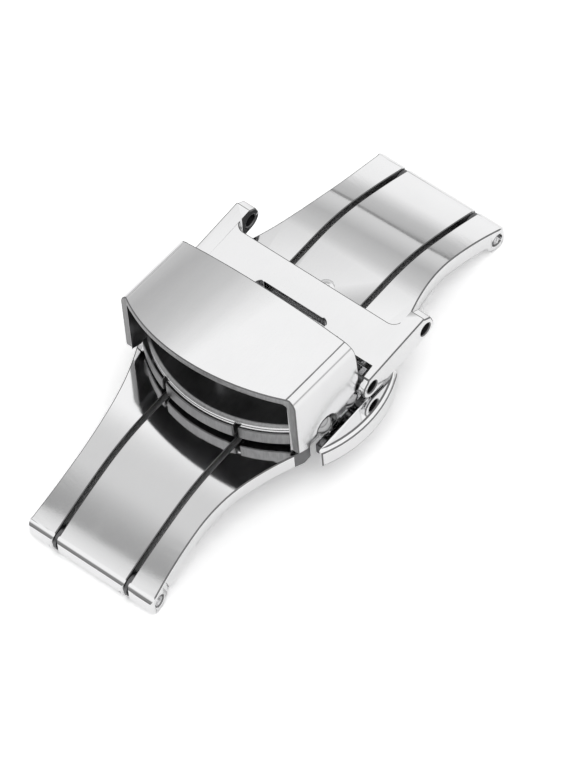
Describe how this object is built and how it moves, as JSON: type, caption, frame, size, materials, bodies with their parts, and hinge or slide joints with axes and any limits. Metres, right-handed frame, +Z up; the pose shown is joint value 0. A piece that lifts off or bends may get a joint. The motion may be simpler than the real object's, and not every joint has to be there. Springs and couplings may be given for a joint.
{
  "type": "butterfly clasp",
  "caption": "Polished steel butterfly clasp for a watch strap: two folding blades, box cover, strap link and side pushers.",
  "frame": {"origin": "middle of the clasp, on the plane that both folded ends stand on", "axes": "+X along the strap towards the strap link, +Y across the strap, +Z up through the cover, away from the wrist"},
  "size_m": [0.0508, 0.024, 0.0163],
  "materials": {
    "polished_steel": "mirror polished stainless steel",
    "satin_steel": "fine turned or brushed stainless steel",
    "spring_steel": "drawn spring wire"
  },
  "bodies": {
    "base": {"base_frame": "polished_steel", "base_plate": "satin_steel", "base_screws": "satin_steel", "front_hinge_pin": "satin_steel", "rear_hinge_pin": "satin_steel", "front_hinge_washers": "satin_steel", "rear_hinge_washers": "satin_steel", "left_push_spring": "spring_steel", "right_push_spring": "spring_steel"},
    "front_arm": {"front_blade": "polished_steel", "buckle_plate": "polished_steel", "strap_peg": "polished_steel", "plate_pin": "polished_steel", "left_cover_stud": "polished_steel", "right_cover_stud": "polished_steel"},
    "box_cover": {"cover": "polished_steel"},
    "rear_arm": {"rear_blade": "polished_steel", "rear_yoke": "polished_steel", "yoke_rivets": "polished_steel", "blade_rivet": "polished_steel"},
    "lug_link": {"strap_link": "polished_steel", "link_pin": "satin_steel"},
    "left_button": {"left_pusher": "polished_steel", "left_guide_rod": "satin_steel"},
    "right_button": {"right_pusher": "polished_steel", "right_guide_rod": "satin_steel"}
  },
  "joints": [
    {"name": "front_blade_swing", "type": "hinge", "parent": "base", "child": "front_arm", "pos_m": [-0.0241, 0, 0.00127], "axis": [0, -1, 0], "range_deg": [0, 150]},
    {"name": "rear_blade_swing", "type": "hinge", "parent": "base", "child": "rear_arm", "pos_m": [0.0241, 0, 0.00127], "axis": [0, 1, 0], "range_deg": [0, 150]},
    {"name": "cover_flip", "type": "hinge", "parent": "front_arm", "child": "box_cover", "pos_m": [0.0001, 0, 0.0064], "axis": [0, 1, 0], "range_deg": [0, 15]},
    {"name": "strap_link_tilt", "type": "hinge", "parent": "rear_arm", "child": "lug_link", "pos_m": [0.00168, 0, 0.00737], "axis": [0, -1, 0], "range_deg": [0, 45]},
    {"name": "left_push", "type": "slide", "parent": "base", "child": "left_button", "axis": [0, -1, 0], "range_m": [0, 0.0005], "stiffness_N_per_m": 800, "springref_m": -0.0006, "deforming": ["left_push_spring"]},
    {"name": "right_push", "type": "slide", "parent": "base", "child": "right_button", "axis": [0, 1, 0], "range_m": [0, 0.0005], "stiffness_N_per_m": 800, "springref_m": -0.0006, "deforming": ["right_push_spring"]}
  ]
}
